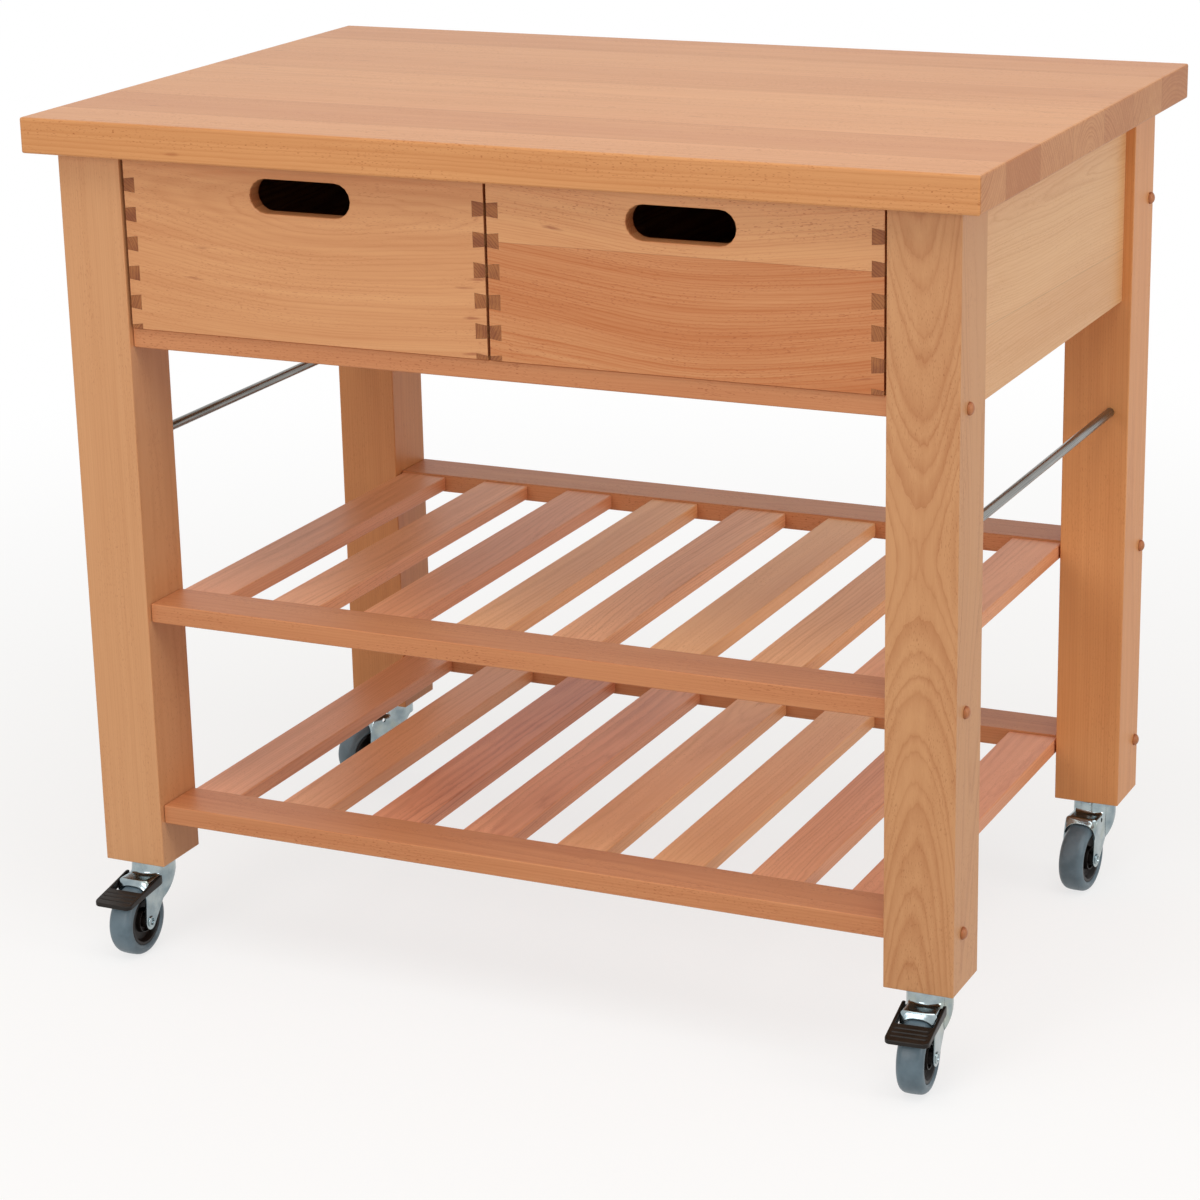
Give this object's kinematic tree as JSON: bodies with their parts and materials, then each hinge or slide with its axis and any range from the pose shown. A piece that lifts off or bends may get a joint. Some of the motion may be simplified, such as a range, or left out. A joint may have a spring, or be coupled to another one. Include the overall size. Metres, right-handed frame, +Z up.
{
  "type": "kitchen trolley",
  "caption": "Solid wood kitchen trolley with a thick worktop, dovetailed drawers with hand slots, slatted shelves, towel rods at the ends and swivel casters with brake pedals.",
  "frame": {"origin": "on the floor under the middle of the trolley's outline, pedals included", "axes": "+X to the right along the front, +Y to the back, +Z up"},
  "size_m": [1, 0.6974, 0.896],
  "materials": {
    "beech_worktop": "oiled beech",
    "beech_leg": "oiled beech",
    "beech_panel": "oiled beech",
    "beech_rail": "oiled beech",
    "beech_slat": "oiled beech",
    "beech_drawer_front": "oiled beech",
    "beech_drawer_side": "oiled beech",
    "plywood_drawer_bottom": "bare plywood",
    "satin_steel": "satin, drawn along its length",
    "zinc_plated_steel": "bright zinc plate with a faint blue cast",
    "grey_tyre": "smooth, dull grey",
    "dark_wheel_core": "moulded, near black",
    "dark_pedal": "moulded, near black, grooved tread"
  },
  "bodies": {
    "frame": {"worktop": "beech_worktop", "leg_front_left": "beech_leg", "leg_front_right": "beech_leg", "leg_rear_left": "beech_leg", "leg_rear_right": "beech_leg", "side_panel_left": "beech_panel", "side_panel_right": "beech_panel", "back_panel": "beech_panel", "drawer_rail": "beech_rail", "centre_runner": "beech_rail", "upper_shelf_front_rail": "beech_rail", "upper_shelf_back_rail": "beech_rail", "upper_shelf_slat_1": "beech_slat", "upper_shelf_slat_2": "beech_slat", "upper_shelf_slat_3": "beech_slat", "upper_shelf_slat_4": "beech_slat", "upper_shelf_slat_5": "beech_slat", "upper_shelf_slat_6": "beech_slat", "upper_shelf_slat_7": "beech_slat", "upper_shelf_slat_8": "beech_slat", "lower_shelf_front_rail": "beech_rail", "lower_shelf_back_rail": "beech_rail", "lower_shelf_slat_1": "beech_slat", "lower_shelf_slat_2": "beech_slat", "lower_shelf_slat_3": "beech_slat", "lower_shelf_slat_4": "beech_slat", "lower_shelf_slat_5": "beech_slat", "lower_shelf_slat_6": "beech_slat", "lower_shelf_slat_7": "beech_slat", "lower_shelf_slat_8": "beech_slat", "towel_rod_left": "satin_steel", "towel_rod_right": "satin_steel", "caster_front_left_stem": "zinc_plated_steel", "caster_front_right_stem": "zinc_plated_steel", "caster_rear_left_stem": "zinc_plated_steel", "caster_rear_right_stem": "zinc_plated_steel"},
    "drawer_left": {"drawer_left_front": "beech_drawer_front", "drawer_left_back": "beech_drawer_front", "drawer_left_side_left": "beech_drawer_side", "drawer_left_side_right": "beech_drawer_side", "drawer_left_bottom": "plywood_drawer_bottom"},
    "drawer_right": {"drawer_right_front": "beech_drawer_front", "drawer_right_back": "beech_drawer_front", "drawer_right_side_left": "beech_drawer_side", "drawer_right_side_right": "beech_drawer_side", "drawer_right_bottom": "plywood_drawer_bottom"},
    "caster_front_left_swivel": {"caster_front_left_fork": "zinc_plated_steel"},
    "caster_front_left_wheel": {"caster_front_left_wheel": "dark_wheel_core", "caster_front_left_tyre": "grey_tyre"},
    "caster_front_left_pedal": {"caster_front_left_brake_pedal": "dark_pedal"},
    "caster_front_right_swivel": {"caster_front_right_fork": "zinc_plated_steel"},
    "caster_front_right_wheel": {"caster_front_right_wheel": "dark_wheel_core", "caster_front_right_tyre": "grey_tyre"},
    "caster_front_right_pedal": {"caster_front_right_brake_pedal": "dark_pedal"},
    "caster_rear_left_swivel": {"caster_rear_left_fork": "zinc_plated_steel"},
    "caster_rear_left_wheel": {"caster_rear_left_wheel": "dark_wheel_core", "caster_rear_left_tyre": "grey_tyre"},
    "caster_rear_right_swivel": {"caster_rear_right_fork": "zinc_plated_steel"},
    "caster_rear_right_wheel": {"caster_rear_right_wheel": "dark_wheel_core", "caster_rear_right_tyre": "grey_tyre"}
  },
  "joints": [
    {"name": "drawer_left_slide", "type": "slide", "parent": "frame", "child": "drawer_left", "axis": [0, -1, 0], "range_m": [0, 0.4]},
    {"name": "drawer_right_slide", "type": "slide", "parent": "frame", "child": "drawer_right", "axis": [0, -1, 0], "range_m": [0, 0.4]},
    {"name": "caster_front_left_swivel_turn", "type": "hinge", "parent": "frame", "child": "caster_front_left_swivel", "pos_m": [-0.4395, -0.26179, 0.0997], "axis": [0, 0, 1], "continuous": true},
    {"name": "caster_front_left_wheel_spin", "type": "hinge", "parent": "caster_front_left_swivel", "child": "caster_front_left_wheel", "pos_m": [-0.4395, -0.30179, 0.0375], "axis": [1, 0, 0], "continuous": true},
    {"name": "caster_front_left_pedal_release", "type": "hinge", "parent": "caster_front_left_swivel", "child": "caster_front_left_pedal", "pos_m": [-0.4395, -0.28879, 0.0787], "axis": [-1, 0, 0], "range_deg": [0, 15]},
    {"name": "caster_front_right_swivel_turn", "type": "hinge", "parent": "frame", "child": "caster_front_right_swivel", "pos_m": [0.4395, -0.26179, 0.0997], "axis": [0, 0, 1], "continuous": true},
    {"name": "caster_front_right_wheel_spin", "type": "hinge", "parent": "caster_front_right_swivel", "child": "caster_front_right_wheel", "pos_m": [0.44229, -0.30169, 0.0375], "axis": [0.9976, 0.0698, 0], "continuous": true},
    {"name": "caster_front_right_pedal_release", "type": "hinge", "parent": "caster_front_right_swivel", "child": "caster_front_right_pedal", "pos_m": [0.44138, -0.28872, 0.0787], "axis": [-0.9976, -0.0698, 0], "range_deg": [0, 15]},
    {"name": "caster_rear_left_swivel_turn", "type": "hinge", "parent": "frame", "child": "caster_rear_left_swivel", "pos_m": [-0.4395, 0.28121, 0.0997], "axis": [0, 0, 1], "continuous": true},
    {"name": "caster_rear_left_wheel_spin", "type": "hinge", "parent": "caster_rear_left_swivel", "child": "caster_rear_left_wheel", "pos_m": [-0.45828, 0.24589, 0.0375], "axis": [0.8829, -0.4695, 0], "continuous": true},
    {"name": "caster_rear_right_swivel_turn", "type": "hinge", "parent": "frame", "child": "caster_rear_right_swivel", "pos_m": [0.4395, 0.28121, 0.0997], "axis": [0, 0, 1], "continuous": true},
    {"name": "caster_rear_right_wheel_spin", "type": "hinge", "parent": "caster_rear_right_swivel", "child": "caster_rear_right_wheel", "pos_m": [0.43671, 0.24131, 0.0375], "axis": [0.9976, -0.0698, 0], "continuous": true}
  ]
}
